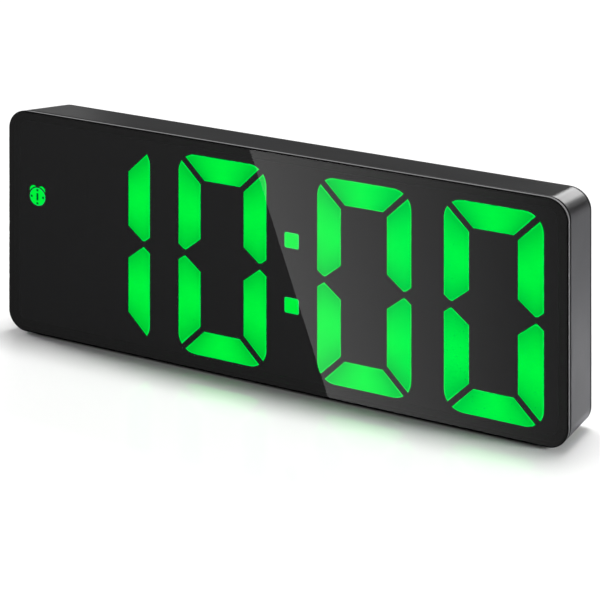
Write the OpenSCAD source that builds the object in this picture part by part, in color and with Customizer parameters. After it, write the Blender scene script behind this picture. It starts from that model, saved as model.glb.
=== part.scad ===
// LED desk alarm clock: a glossy front panel stuck to a black housing, four lit digits in a
// reflector block, two circuit boards, four rear buttons and a bay for three AAA cells.
// Units are millimetres. X is to the right seen from the front, the front faces -Y, Z is up.
// The origin is under the middle of the clock's own box, on the plane that the feet rest on.

/* [Body] */
// Width of the body
body_w = 160; // [144:1:200]
// Radius of the body's corners, seen from the front
corner_r = 5.5; // [4:0.5:8]
// Wall thickness of the housing
wall = 2; // [1.8:0.1:2.4]
// Thickness of the rear cover's plate
cover_t = 2; // [2:0.1:2.6]
// Chamfer around the rear cover
cover_edge = 0.9; // [0.4:0.1:1.2]
// Chamfer where the housing meets the groove and the rear cover
joint_edge = 0.3; // [0.2:0.05:0.5]

/* [Front panel] */
// Thickness of the acrylic front panel
panel_t = 2; // [1.5:0.1:3]
// Chamfer around the front panel
panel_edge = 0.3; // [0.2:0.05:0.6]
// Width of the shadow groove behind the panel
groove_w = 0.8; // [0.5:0.1:1.4]
// Depth of the shadow groove
groove_deep = 0.9; // [0.5:0.1:1.2]
// Thickness of the adhesive tape between panel and housing
tape_t = 0.2; // [0.15:0.05:0.4]
// Width of the lip that the tape sticks to, inside the wall
lip_w = 0.8; // [0.6:0.1:1.4]
// Thickness of that lip
lip_t = 1.6; // [1.2:0.1:2]

/* [Display] */
// Room above the digits in the housing's window
digit_head_room = 1.75; // [0.9:0.05:4]
// Room below the digits
digit_foot_room = 0.75; // [0.7:0.05:4]
// Room between the last digit and the window's right side
side_margin = 3.75; // [1.5:0.05:6]
// Room for the alarm symbol between the window's left side and the first digit
symbol_room = 15.15; // [11:0.05:18]
// Gap between the two digits of a pair
pair_gap = 8.7; // [6:0.1:10]
// Gap between the pairs, where the colon stands
middle_gap = 14.5; // [10:0.1:16]
// Width of a digit's segments
segment_w = 6.6; // [5:0.1:7.5]
// Radius of a digit's outer corners
digit_r = 5; // [2:0.5:6]
// Dark gap between neighbouring segments
slit = 1.6; // [1:0.1:2]
// Side of a colon dot
dot_w = 4.1; // [3:0.1:5]
// Height of each colon dot above or below the display's centre
dot_rise = 8.6; // [6:0.1:12]
// Radius of the alarm symbol's dial
icon_r = 2.5; // [2:0.1:3]
// Distance of the alarm symbol's centre from the window's left side
icon_in = 5.7; // [5:0.1:7]
// Height of the alarm symbol above the display's centre
icon_rise = 7.65; // [0:0.05:12]
// The four digits that are lit
shown = [1, 0, 0, 0];
// Depth of the reflector block behind the housing's lip
reflector_d = 5.6; // [5:0.1:8]
// Thickness of the lens in each segment
lens_t = 1.5; // [1:0.1:2]

/* [Boards] */
// Thickness of the main board
board_t = 1.6; // [1:0.1:2]
// Room between the main board and the battery bay, for the screw heads
board_room = 1.2; // [1.1:0.1:6]
// Thickness of the key board
key_board_t = 1.2; // [1:0.1:1.6]
// Height of the key board
key_board_h = 13; // [12:0.5:14]

/* [Buttons] */
// Radius of a button
button_r = 3.5; // [3:0.1:3.8]
// Distance from one button to the next
button_pitch = 17; // [14:0.5:18]
// How far a button stands out of the rear cover
button_out = 1; // [0.6:0.1:1.2]
// Travel of a button
button_travel = 0.4; // [0.3:0.05:0.5]
// Distance of the row of buttons below the body's top
button_drop = 11; // [10:0.1:14]
// Distance of the row of buttons above the battery bay
button_rise = 11; // [10.5:0.1:16]

/* [Battery bay] */
// Diameter of an AAA cell
cell_d = 10.5;
// Length of an AAA cell with its nub
cell_l = 44.5;
// Gap between neighbouring cells
cell_gap = 0.5; // [0.4:0.1:0.7]
// Room for the contact spring at a cell's flat end
spring_l = 2.6; // [2.2:0.1:3.2]
// Wall of the battery bay
bay_wall = 1.2; // [1:0.1:1.4]
// Height of the bay's lower inside face above the body's underside
bay_rise = 6.5; // [6.4:0.1:12]
// Thickness of the battery door
door_t = 1.8; // [1.6:0.1:1.8]

/* [Fixings] */
// Inset of the cover screws from the body's edges
screw_inset = 4.6; // [4.5:0.1:5]
// Radius of the cover screws
screw_r = 1.1; // [1:0.05:1.2]
// Length of the cover screws under the head
screw_l = 9; // [7:0.5:9.5]
// Radius of the small screws that hold the boards
small_r = 0.8; // [0.7:0.05:0.9]

/* [Feet] */
// How far the feet hold the body above the table
foot_stand = 0.5; // [0.3:0.1:1]
// Radius of a rubber foot
foot_r = 3.2; // [2.5:0.1:3.6]

/* [Hidden] */
$fn = 64;
// clearance around pieces that are pushed or glued into place
fit = 0.05;
// looser clearance around boards, door and lips
loose = 0.15;
// how far a cut runs past a face
past = 0.5;

// gap that a cell, the door and the lenses' face keep to what lies behind them
seat_gap = 0.1;
// the body's depth is what it stacks up from front to rear, and its height what the rear holds
body_d = panel_t + tape_t + lip_t + reflector_d + board_t + board_room + bay_wall + cell_d
    + 3 * seat_gap + door_t;
bay_h = 3 * cell_d + 4 * cell_gap;
body_h = bay_rise + bay_h + button_rise + button_drop;
front_y = -(body_d + button_out) / 2;
rear_y = front_y + body_d;
mid_z = foot_stand + body_h / 2;
panel_back = front_y + panel_t;
neck_y = panel_back + tape_t;
shell_y = panel_back + groove_w;
lip_back = neck_y + lip_t;
joint_y = rear_y - cover_t;
cavity_w = body_w - 2 * wall;
cavity_h = body_h - 2 * wall;
cavity_r = corner_r - wall;
window_w = cavity_w - 2 * lip_w;
window_h = cavity_h - 2 * lip_w;
window_r = cavity_r - lip_w;

// the reflector's face fills the housing's window, just behind the panel
reflector_y = panel_back + seat_gap;
reflector_back = lip_back + reflector_d;
// narrow step under each lens that carries it
ledge = 0.4;
// the alarm symbol's dial and bells stand on one round base
icon_base_r = icon_r + 1.2;
icon_base_t = 0.6;
led_size = [2, 0.8, 1.3];
dot_r = 0.5;
// the alarm symbol's bells and marks follow the dial's size
bell_r = icon_r * 0.48;
bell_out = icon_r * 0.5;
bell_rise = icon_r * 0.75;
bell_slit = 0.35;
mark_w = 0.45;
mark_out = icon_r * 0.7;
hand_h = icon_r * 0.75;
segment_codes = [
    [1, 1, 1, 1, 1, 1, 0], [0, 1, 1, 0, 0, 0, 0], [1, 1, 0, 1, 1, 0, 1], [1, 1, 1, 1, 0, 0, 1],
    [0, 1, 1, 0, 0, 1, 1], [1, 0, 1, 1, 0, 1, 1], [1, 0, 1, 1, 1, 1, 1], [1, 1, 1, 0, 0, 0, 0],
    [1, 1, 1, 1, 1, 1, 1], [1, 1, 1, 1, 0, 1, 1]];
digit_h = window_h - digit_head_room - digit_foot_room;
display_z = mid_z + (digit_foot_room - digit_head_room) / 2;
digit_w = (window_w - symbol_room - side_margin - 2 * pair_gap - middle_gap) / 4;
colon_x = symbol_room + 2 * digit_w + pair_gap + middle_gap / 2 - window_w / 2;
// the middles of the pairs, and of the digits to either side of them
pair_xs = [for (k = [-1, 1]) colon_x + k * (middle_gap / 2 + digit_w + pair_gap / 2)];
digit_xs = [for (x = pair_xs, k = [-1, 1]) x + k * (digit_w + pair_gap) / 2];
icon_x = icon_in - window_w / 2;
// the upright segments end in a point, this far from their outer side
tip_in = 1.9;
tip_gap = 0.65;
tip_slope = 0.81;
tip_stretch = sqrt(1 + tip_slope * tip_slope);

board_y = reflector_back;
board_back = board_y + board_t;
board_margin = 2;
board_w = cavity_w - 2 * board_margin;
board_h = cavity_h - 2 * board_margin;
board_r = 2;
board_screw_xs = [pair_xs[0], colon_x, pair_xs[1]];
board_screw_in = 4;
board_screw_rise = board_h / 2 - board_screw_in;
board_screw_l = 5;
// a board's screw holes are this much wider than the screw, all round
board_hole_gap = 0.3;

contact_t = 0.4;
bay_l = cell_l + spring_l + 2 * contact_t;
bay_z = foot_stand + bay_rise;
contact_half = 4;
nub_r = 1.9;
nub_h = 1;
spring_wire_r = 0.35;
spring_turns = 5;
spring_r = 3.4;
// how much smaller each turn of the cone spring is than the one before it
spring_step_in = 0.3;
tab_w = 3;
tab_t = 0.5;
tab_slot = 0.1;
tab_out = 2;
lead_r = 0.6;
// the door lies in a pocket that is wider than the bay
door_seat = 1.5;
door_w = bay_l + 2 * door_seat;
door_edge = door_t / 2;
hinge_y = rear_y - door_edge;
hinge_drop = 1;
hinge_z = bay_z - hinge_drop;
latch_rise = 2.4;
door_top = bay_z + bay_h + latch_rise;
latch_x = 5.5;
latch_slot_w = 0.8;
latch_slot_h = 7;
ridge_w = 7;
ridge_h = 0.8;
ridge_out = 0.5;
ridge_in = 0.6;
grip_w = 10;
grip_h = 0.8;
grip_pitch = 1.6;
grip_in = 10.2;
grip_deep = 0.3;
scoop_r = 4;
scoop_deep = 0.8;
door_in = rear_y - door_t;
ledge_y = door_in - seat_gap;
rim_t = 1.4;
cell_y = ledge_y - seat_gap - cell_d / 2;
bay_floor = cell_y - cell_d / 2 - seat_gap;
hinge_pin_r = 0.5;
hinge_pin_l = 1.4;

boss_r = 2.8;
boss_start = board_back + 0.4;
boss_end = joint_y - 1.5;
cover_lip_t = 1.2;
cover_lip_end = boss_end + 0.1;
head_r = 2.1;
head_h = 1.4;
head_sunk = 0.2;
head_y = rear_y - head_h - head_sunk;
head_gap = 0.2;
cross_w = 0.5;
cross_l = 2.6;
cross_deep = 0.8;
// the cover's screw posts stay clear of the cavity's walls and of its round corners
post_r = min(screw_inset - wall, cavity_r - sqrt(2) * abs(cavity_r - screw_inset + wall)) - loose;

button_z = foot_stand + body_h - button_drop;
button_edge = 0.4;
switch_w = 6;
switch_body_h = 3.5;
plunger_r = 1.75;
// a plunger stands out of its switch by twice its travel, and has as much room under it
plunger_out = 2 * button_travel;
plunger_in = 1.3;
flange_t = 1;
flange_r = button_r + 0.8;
// the flange keeps the button from coming out of its hole
flange_back = joint_y - seat_gap;
plunger_end = flange_back - flange_t;
switch_top = plunger_end - plunger_out;
key_board_back = switch_top - switch_body_h;
key_board_y = key_board_back - key_board_t;
button_xs = [for (k = [-1.5 : 1 : 1.5]) k * button_pitch];
usb_x = button_xs[3] + button_pitch;
// the charging socket's outer size, its wall, and how far it and its tongue lie inside the cover
usb_size = [8.94, 3.26];
usb_wall = 0.3;
usb_in = 0.8;
usb_gap = 0.22;
usb_recess = [13, 7.4];
usb_recess_deep = 0.7;
tongue_size = [6.7, 0.7];
tongue_in = 1.6;
key_board_margin = 10;
key_board_w = 2 * (usb_x + key_board_margin);
key_board_r = 1;
key_post_r = 2.1;
key_screw_xs = [button_xs[0] - button_pitch / 2 - 4, 0, button_xs[3] + button_pitch / 2];
key_screw_l = 6;
header_x = -button_pitch;
header_pins = 6;
header_pitch = 2;
header_h = 2.4;
header_z = button_z - 3.5;
pin_r = 0.32;
pin_hole_r = 0.45;
pin_out = 1;

buzzer_x = 24 - board_w / 2;
buzzer_z = mid_z - 4;
buzzer_r = 6;
buzzer_h = 5.5;
buzzer_hole_r = 1.2;
buzzer_hole_deep = 2;
sound_hole_r = 0.6;
sound_ring_r = 2.6;
chip_x = board_w / 2 - 24;
chip_z = mid_z - 2;
chip_w = 18;
chip_h = 7.5;
chip_legs = 14;
chip_stand = 0.2;
chip_t = 1.6;
leg_pitch = 1.27;
leg_size = [0.5, 0.8, 1.2];
driver_w = 10;
driver_h = 4;
driver_legs = 8;
driver_rise = 13;
bay_side = bay_l / 2 + bay_wall;
cap_x = -bay_side - 10;
cap_r = 3.15;
cap_h = 7;
cap_z = mid_z - 14;
crystal_r = 2.2;
crystal_w = 6.6;
crystal_t = 3.4;
crystal_z = mid_z - 13;
resistor_size = [2, 0.5, 1.25];
resistor_pitch = 3;
resistor_xs = [board_w / 2 - 12, board_w / 2 - 8];
prop_r = 1.8;
prop_xs = [6 - board_w / 2, -bay_side - 13, bay_side + 13, board_w / 2 - 6];
prop_z = mid_z + 6;

foot_x = body_w / 2 - 14;
foot_gap = 12;
foot_ys = [for (k = [-0.5, 0.5]) (shell_y + joint_y) / 2 + k * foot_gap];
foot_sink = 0.6;

// ---- shapes drawn in the front view and given a depth ----

// runs a front-view outline from y0 back to y1
module deep(y0, y1) {
    translate([0, y1, 0]) rotate([90, 0, 0]) linear_extrude(y1 - y0) children();
}

module rounded(w, h, r) {
    square([w - 2 * r, h], center = true);
    square([w, h - 2 * r], center = true);
    for (x = [-1, 1], z = [-1, 1]) translate([x * (w / 2 - r), z * (h / 2 - r)]) circle(r);
}

// a rounded plate with a chamfer around its front and its rear
module slab(w, h, r, y0, y1, front_edge, rear_edge) {
    d = y1 - y0;
    function half_outline(s) = [[s, rear_edge], [s, d - front_edge], [s - front_edge, d]];
    function outline(s) = concat([[s - rear_edge, 0]], half_outline(s),
        [[front_edge - s, d], [-s, d - front_edge], [-s, rear_edge], [rear_edge - s, 0]]);
    translate([0, y1, mid_z]) rotate([90, 0, 0]) {
        for (x = [-1, 1], z = [-1, 1]) translate([x * (w / 2 - r), z * (h / 2 - r), 0])
            rotate_extrude() polygon(concat([[0, 0], [r - rear_edge, 0]], half_outline(r), [[0, d]]));
        rotate([90, 0, 90]) linear_extrude(w - 2 * r, center = true) polygon(outline(h / 2));
        rotate([90, 0, 0]) linear_extrude(h - 2 * r, center = true) polygon(outline(w / 2));
    }
}

// a round bar along Y
module bar(r, x, z, y0, y1) {
    translate([x, y1, z]) rotate([90, 0, 0]) cylinder(r = r, h = y1 - y0);
}

// a block given by its limits
module block(x0, x1, y0, y1, z0, z1) {
    translate([x0, y0, z0]) cube([x1 - x0, y1 - y0, z1 - z0]);
}

module at_cover_screws() {
    for (x = [-1, 1], z = [-1, 1])
        translate([x * (body_w / 2 - screw_inset), 0, mid_z + z * (body_h / 2 - screw_inset)])
            children();
}

// ---- the seven segments, each grown outward by g ----

module digit_outline(g) {
    rounded(digit_w + 2 * g, digit_h + 2 * g, digit_r + g);
}

module flat_segment(g) {
    mitre = slit / 2 * sqrt(2) - g * sqrt(2);
    outer = digit_w / 2 + g - mitre;
    inner = digit_w / 2 - segment_w - g - mitre;
    top = digit_h / 2 + g;
    low = digit_h / 2 - segment_w - g;
    polygon([[-outer, top], [outer, top], [inner, low], [-inner, low]]);
}

module upright_segment(g) {
    mitre = slit / 2 * sqrt(2) - g * sqrt(2);
    side = digit_w / 2 + g;
    inner = digit_w / 2 - segment_w - g;
    tip = digit_w / 2 - tip_in;
    tip_low = tip_gap - g * tip_stretch;
    polygon([[side, digit_h / 2 + g - mitre], [inner, digit_h / 2 - segment_w - g - mitre],
        [inner, tip_low + tip_slope * (tip - inner)], [tip, tip_low],
        [side, tip_low + tip_slope * (side - tip)]]);
}

module middle_segment(g) {
    half = segment_w / 2 + g;
    end = digit_w / 2 - tip_in - (slit * tip_stretch - tip_gap) / tip_slope
        + g * tip_stretch / tip_slope;
    flat = end - half / tip_slope;
    polygon([[-end, 0], [-flat, half], [flat, half], [end, 0], [flat, -half], [-flat, -half]]);
}

// segments run clockwise from the top one, and the middle bar comes last
module segment(k, g) {
    if (k == 6) middle_segment(g);
    else intersection() {
        digit_outline(g);
        if (k == 0) flat_segment(g);
        else if (k == 1) upright_segment(g);
        else if (k == 2) mirror([0, 1]) upright_segment(g);
        else if (k == 3) mirror([0, 1]) flat_segment(g);
        else if (k == 4) mirror([1, 0]) mirror([0, 1]) upright_segment(g);
        else mirror([1, 0]) upright_segment(g);
    }
}

// the segments whose state, lit or unlit, is in the list
module segments(states, g) {
    for (i = [0 : 3], k = [0 : 6]) if (len(search(segment_codes[shown[i]][k], states)) > 0)
        translate([digit_xs[i], display_z]) segment(k, g);
}

module colon_dots(g) {
    for (z = [-1, 1]) translate([colon_x, display_z + z * dot_rise])
        rounded(dot_w + 2 * g, dot_w + 2 * g, dot_r + g);
}

module icon_dial(g) {
    circle(icon_r + g);
}

// a bell is a round dome with the dial's surround cut out of it
module icon_bells(g) {
    for (x = [-1, 1]) difference() {
        translate([x * bell_out, bell_rise]) circle(bell_r + g);
        circle(icon_r + bell_slit - g);
    }
}

module icon_marks() {
    for (a = [0 : 90 : 270]) rotate(a) translate([mark_out, 0]) square(mark_w, center = true);
    square([mark_w, hand_h], center = true);
}

module at_icon() {
    translate([icon_x, display_z + icon_rise]) children();
}

module wells(g) {
    segments([0, 1], g);
    colon_dots(g);
}

// ---- front ----

module front_panel() {
    color("#0b0b0d") slab(body_w, body_h, corner_r, front_y, panel_back, panel_edge, panel_edge);
}

module panel_tape() {
    inset = groove_deep + 0.1;
    color("#151515") deep(panel_back, neck_y) translate([0, mid_z]) difference() {
        rounded(body_w - 2 * inset, body_h - 2 * inset, corner_r - inset);
        rounded(window_w + 0.2, window_h + 0.2, window_r + 0.1);
    }
}

module front_housing() {
    color("#1b1b1d") difference() {
        union() {
            slab(body_w, body_h, corner_r, shell_y, joint_y, joint_edge, joint_edge);
            deep(neck_y, shell_y + joint_edge) translate([0, mid_z])
                rounded(body_w - 2 * groove_deep, body_h - 2 * groove_deep, corner_r - groove_deep);
        }
        deep(lip_back, joint_y + past) translate([0, mid_z]) rounded(cavity_w, cavity_h, cavity_r);
        deep(neck_y - past, lip_back + past) translate([0, mid_z])
            rounded(window_w, window_h, window_r);
        for (x = [-foot_x, foot_x], y = foot_ys)
            translate([x, y, foot_stand - past]) cylinder(r = foot_r + fit, h = past + foot_sink);
    }
    color("#1b1b1d") at_cover_screws() difference() {
        bar(boss_r, 0, 0, boss_start, boss_end);
        bar(screw_r + fit, 0, 0, head_y - screw_l - 1, boss_end + past);
    }
}

module reflector() {
    color("#101012") difference() {
        union() {
            deep(lip_back, reflector_back) translate([0, mid_z])
                rounded(cavity_w - 2 * loose, cavity_h - 2 * loose, cavity_r - loose);
            deep(reflector_y, lip_back + past) translate([0, mid_z])
                rounded(window_w - 2 * loose, window_h - 2 * loose, window_r - loose);
        }
        deep(reflector_y - past, reflector_y + lens_t) {
            wells(fit);
            at_icon() icon_dial(fit);
            at_icon() icon_bells(fit);
        }
        deep(reflector_y + lens_t - fit, reflector_back + past) {
            wells(-ledge);
            at_icon() circle(icon_base_r - ledge);
        }
        deep(reflector_y + lens_t - fit, reflector_y + lens_t + icon_base_t)
            at_icon() circle(icon_base_r + fit);
        for (x = board_screw_xs, z = [-1, 1])
            bar(small_r + fit, x, mid_z + z * board_screw_rise,
                board_back - board_screw_l - 0.5, reflector_back + past);
    }
}

module lenses(states) {
    deep(reflector_y, reflector_y + lens_t) segments(states, 0);
}

module lit_lenses() {
    color("#12f53c") lenses([1]);
}

module unlit_lenses() {
    color("#26312a") lenses([0]);
}

module colon_lenses() {
    color("#12f53c") deep(reflector_y, reflector_y + lens_t) colon_dots(0);
}

module alarm_icon_lens() {
    color("#12f53c") {
        deep(reflector_y, reflector_y + lens_t + fit) at_icon() {
            difference() {
                icon_dial(0);
                icon_marks();
            }
            icon_bells(0);
        }
        deep(reflector_y + lens_t, reflector_y + lens_t + icon_base_t) at_icon() circle(icon_base_r);
    }
}

// ---- boards ----

module led(x, z) {
    translate([x, board_y - led_size[1] / 2, z]) cube(led_size, center = true);
}

module segment_leds() {
    flat_z = digit_h / 2 - segment_w / 2;
    side_x = digit_w / 2 - segment_w / 2;
    color("#e8e4c8") {
        for (x = digit_xs) {
            for (z = [-flat_z, 0, flat_z]) led(x, display_z + z);
            for (s = [-1, 1], z = [-1, 1]) led(x + s * side_x, display_z + z * digit_h / 4);
        }
        for (z = [-1, 1]) led(colon_x, display_z + z * dot_rise);
        led(icon_x, display_z + icon_rise);
    }
}

module main_board() {
    color("#1d5b34") difference() {
        deep(board_y, board_back) translate([0, mid_z]) rounded(board_w, board_h, board_r);
        for (x = board_screw_xs, z = [-1, 1])
            bar(small_r + board_hole_gap, x, mid_z + z * board_screw_rise, board_y - past,
                board_back + past);
        at_header_pins() bar(pin_hole_r, 0, 0, board_y - past, board_back + past);
    }
}

// a round-headed screw along Y, its head on the side that dir points to
module round_screw(r, l, y, dir) {
    translate([0, y, 0]) rotate([-90 * dir, 0, 0]) difference() {
        union() {
            translate([0, 0, -l]) cylinder(r = r, h = l + 0.2);
            cylinder(r = r * 1.9, h = r * 1.3);
        }
        for (a = [0, 90]) rotate(a) translate([-r, -r * 0.15, r * 0.5]) cube([2 * r, r * 0.3, r]);
    }
}

module board_screws() {
    color("#9a9a9a") for (x = board_screw_xs, z = [-1, 1])
        translate([x, 0, mid_z + z * board_screw_rise])
            round_screw(small_r, board_screw_l, board_back, 1);
}

// a chip with legs along its two long sides
module chip(x, z, w, h, legs) {
    color("#202022") block(x - w / 2, x + w / 2, board_back + chip_stand,
        board_back + chip_stand + chip_t, z - h / 2, z + h / 2);
    // each leg starts a little inside the body
    leg_z = h / 2 + leg_size[2] / 2 - 0.2;
    color("#b8b8b8") for (k = [0 : legs - 1], s = [-1, 1])
        translate([x + (k - (legs - 1) / 2) * leg_pitch, board_back + leg_size[1] / 2, z + s * leg_z])
            cube(leg_size, center = true);
}

module controller_chip() {
    chip(chip_x, chip_z, chip_w, chip_h, chip_legs);
}

module display_driver() {
    chip(chip_x, chip_z + driver_rise, driver_w, driver_h, driver_legs);
}

module crystal() {
    color("#c2c4c6") deep(board_back, board_back + crystal_t)
        translate([chip_x, crystal_z]) stadium(crystal_w + 2 * crystal_r, 2 * crystal_r);
}

module capacitor() {
    color("#23324f") bar(cap_r, cap_x, cap_z, board_back, board_back + cap_h);
}

module buzzer() {
    color("#121212") difference() {
        bar(buzzer_r, buzzer_x, buzzer_z, board_back, board_back + buzzer_h);
        bar(buzzer_hole_r, buzzer_x, buzzer_z, board_back + buzzer_h - buzzer_hole_deep,
            board_back + buzzer_h + past);
    }
}

module board_resistors() {
    color("#2b2b2b") for (x = resistor_xs, k = [-3 : 3])
        translate([x, board_back + resistor_size[1] / 2, crystal_z + 3 + k * resistor_pitch])
            cube(resistor_size, center = true);
}

module at_header_pins() {
    for (k = [0 : header_pins - 1])
        translate([header_x + (k - (header_pins - 1) / 2) * header_pitch, 0, header_z]) children();
}

module link_header() {
    w = header_pins * header_pitch + 0.5;
    color("#111111") difference() {
        block(header_x - w / 2, header_x + w / 2, board_back, key_board_y,
            header_z - header_h / 2, header_z + header_h / 2);
        at_header_pins() bar(pin_r + fit, 0, 0, board_back - past, key_board_y + past);
    }
}

module link_pins() {
    color("#c9b26a") at_header_pins() bar(pin_r, 0, 0, board_y + 0.2, key_board_back + pin_out);
}

module key_board() {
    color("#1d5b34") difference() {
        deep(key_board_y, key_board_back) translate([0, button_z])
            rounded(key_board_w, key_board_h, key_board_r);
        for (x = key_screw_xs)
            bar(small_r + board_hole_gap, x, button_z, key_board_y - past, key_board_back + past);
        at_header_pins() bar(pin_hole_r, 0, 0, key_board_y - past, key_board_back + past);
    }
}

module key_screws() {
    color("#9a9a9a") for (x = key_screw_xs) translate([x, 0, button_z])
        round_screw(small_r, key_screw_l, key_board_y, -1);
}

// ---- keys ----

module key_switches() {
    color("#26262a") for (x = button_xs) difference() {
        block(x - switch_w / 2, x + switch_w / 2, key_board_back, switch_top,
            button_z - switch_w / 2, button_z + switch_w / 2);
        bar(plunger_r + fit, x, button_z, switch_top - plunger_in - 2 * button_travel,
            switch_top + past);
    }
}

module plunger(k) {
    color("#3a3a3e") bar(plunger_r, button_xs[k], button_z, switch_top - plunger_in, plunger_end);
}

module plunger_down() { plunger(0); }
module plunger_up() { plunger(1); }
module plunger_set() { plunger(2); }
module plunger_mode() { plunger(3); }

module button(k) {
    top = rear_y + button_out;
    color("#232326") {
        bar(flange_r, button_xs[k], button_z, plunger_end, flange_back);
        bar(button_r, button_xs[k], button_z, plunger_end, top - button_edge);
        translate([button_xs[k], top - button_edge, button_z]) rotate([-90, 0, 0])
            cylinder(r1 = button_r, r2 = button_r - button_edge, h = button_edge);
    }
}

module button_down() { button(0); }
module button_up() { button(1); }
module button_set() { button(2); }
module button_mode() { button(3); }

// ---- charging socket ----

module stadium(w, h) {
    square([w - h, h], center = true);
    for (x = [-1, 1]) translate([x * (w - h) / 2, 0]) circle(d = h);
}

module usb_shell() {
    color("#b4b6b8") difference() {
        deep(key_board_back, rear_y - usb_in) translate([usb_x, button_z])
            stadium(usb_size[0], usb_size[1]);
        deep(key_board_back + 1, rear_y) translate([usb_x, button_z])
            stadium(usb_size[0] - 2 * usb_wall, usb_size[1] - 2 * usb_wall);
    }
}

module usb_tongue() {
    color("#17171a") deep(key_board_back + 1, rear_y - tongue_in) translate([usb_x, button_z])
        square(tongue_size, center = true);
}

// ---- rear ----

module bay_hollow() {
    block(-bay_l / 2, bay_l / 2, bay_floor, rear_y + past, bay_z, bay_z + bay_h);
}

module door_pocket() {
    half = door_w / 2 + loose;
    block(-half, half, ledge_y, rear_y + past, hinge_z - door_edge - seat_gap, door_top + loose);
    for (x = [-1, 1]) translate([x * half, hinge_y, hinge_z]) rotate([0, 90, 0])
        cylinder(r = hinge_pin_r + fit, h = 2 * hinge_pin_l, center = true);
    // a scoop above the latch for a fingertip
    bar(scoop_r, 0, door_top, rear_y - scoop_deep, rear_y + past);
}

module sound_holes() {
    bar(sound_hole_r, buzzer_x, buzzer_z, joint_y - past, rear_y + past);
    for (a = [0 : 60 : 300])
        bar(sound_hole_r, buzzer_x + sound_ring_r * cos(a), buzzer_z + sound_ring_r * sin(a),
            joint_y - past, rear_y + past);
}

module rear_cover() {
    rim = door_seat + loose + rim_t;
    color("#1b1b1d") difference() {
        union() {
            slab(body_w, body_h, corner_r, joint_y, rear_y, joint_edge, cover_edge);
            // lip that centres the cover in the housing
            deep(cover_lip_end, joint_y + joint_edge) translate([0, mid_z]) difference() {
                rounded(cavity_w - 2 * loose, cavity_h - 2 * loose, cavity_r - loose);
                rounded(cavity_w - 2 * (loose + cover_lip_t), cavity_h - 2 * (loose + cover_lip_t),
                    cavity_r - loose - cover_lip_t);
            }
            block(-bay_l / 2 - bay_wall, bay_l / 2 + bay_wall, bay_floor - bay_wall, joint_y + past,
                bay_z - bay_wall, bay_z + bay_h + bay_wall);
            block(-bay_l / 2 - rim, bay_l / 2 + rim, ledge_y - rim_t, joint_y + past,
                hinge_z - door_edge - rim_t, door_top + rim_t);
            at_cover_screws() bar(post_r, 0, 0, boss_end, joint_y + past);
            for (x = key_screw_xs) bar(key_post_r, x, button_z, key_board_back, joint_y + past);
            for (x = prop_xs) bar(prop_r, x, prop_z, board_back, joint_y + past);
        }
        bay_hollow();
        door_pocket();
        sound_holes();
        at_cover_screws() {
            bar(screw_r + head_gap, 0, 0, boss_end - past, rear_y);
            bar(head_r + head_gap, 0, 0, head_y, rear_y + past);
        }
        for (x = key_screw_xs)
            bar(small_r + fit, x, button_z, key_board_back - past, key_board_y + key_screw_l + 0.5);
        for (x = button_xs) bar(button_r + loose, x, button_z, joint_y - past, rear_y + past);
        deep(joint_y - past, rear_y + past) translate([usb_x, button_z])
            stadium(usb_size[0] + 2 * usb_gap, usb_size[1] + 2 * usb_gap);
        deep(rear_y - usb_recess_deep, rear_y + past) translate([usb_x, button_z])
            stadium(usb_recess[0], usb_recess[1]);
        for (x = [-1, 1]) tab_block(x, bay_wall + past, tab_w / 2 + tab_slot, tab_t / 2 + tab_slot);
    }
}

module cover_screws() {
    color("#3c3c3f") at_cover_screws() translate([0, head_y, 0]) rotate([-90, 0, 0])
        difference() {
            union() {
                translate([0, 0, -screw_l]) cylinder(r = screw_r, h = screw_l + 0.2);
                cylinder(r = head_r, h = head_h);
            }
            for (a = [0, 90]) rotate(a) translate([-cross_l / 2, -cross_w / 2, head_h - cross_deep])
                cube([cross_l, cross_w, cross_deep + past]);
        }
}

module battery_door() {
    half = door_w / 2;
    color("#1b1b1d") difference() {
        union() {
            block(-half, half, door_in, rear_y, hinge_z, door_top);
            translate([0, hinge_y, hinge_z]) rotate([0, 90, 0]) {
                cylinder(r = door_edge, h = door_w, center = true);
                cylinder(r = hinge_pin_r, h = door_w + 2 * hinge_pin_l, center = true);
            }
            // ridge at the latch for the thumb
            block(-ridge_w / 2, ridge_w / 2, rear_y - past, rear_y + ridge_out,
                door_top - ridge_in - ridge_h, door_top - ridge_in);
        }
        // two slots set the latch tongue free to bend
        for (x = [-1, 1]) block(x * latch_x - latch_slot_w / 2, x * latch_x + latch_slot_w / 2,
            door_in - past, rear_y + past, door_top - latch_slot_h, door_top + past);
        // an arrow-shaped grip of three shallow grooves
        for (k = [0 : 2]) block(k - grip_w / 2, grip_w / 2 - k, rear_y - grip_deep, rear_y + past,
            door_top - grip_in - grip_h - k * grip_pitch, door_top - grip_in - k * grip_pitch);
    }
}

// ---- cells and contacts ----

function cell_z(k) = bay_z + cell_gap + cell_d / 2 + k * (cell_d + cell_gap);
// the way each cell's nub points: cells are laid head to tail
function nub_dir(k) = k == 1 ? -1 : 1;
// the free terminals are at the top cell's nub and at the bottom cell's flat end
function bay_lead_z(x) = cell_z(x > 0 ? 2 : 0);

module battery_cells() {
    color("#5a5d62") for (k = [0 : 2])
        translate([nub_dir(k) * (bay_l / 2 - contact_t), cell_y, cell_z(k)])
            rotate([0, -90 * nub_dir(k), 0]) {
                cylinder(r = nub_r, h = nub_h + past);
                translate([0, 0, nub_h]) cylinder(d = cell_d, h = cell_l - nub_h);
            }
}

// a contact plate on the bay's end wall, over cells k0 to k1
module contact(side, k0, k1) {
    x0 = side * (bay_l / 2 - contact_t / 2);
    block(x0 - contact_t / 2, x0 + contact_t / 2, cell_y - contact_half, cell_y + contact_half,
        cell_z(k0) - contact_half, cell_z(k1) + contact_half);
}

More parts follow.
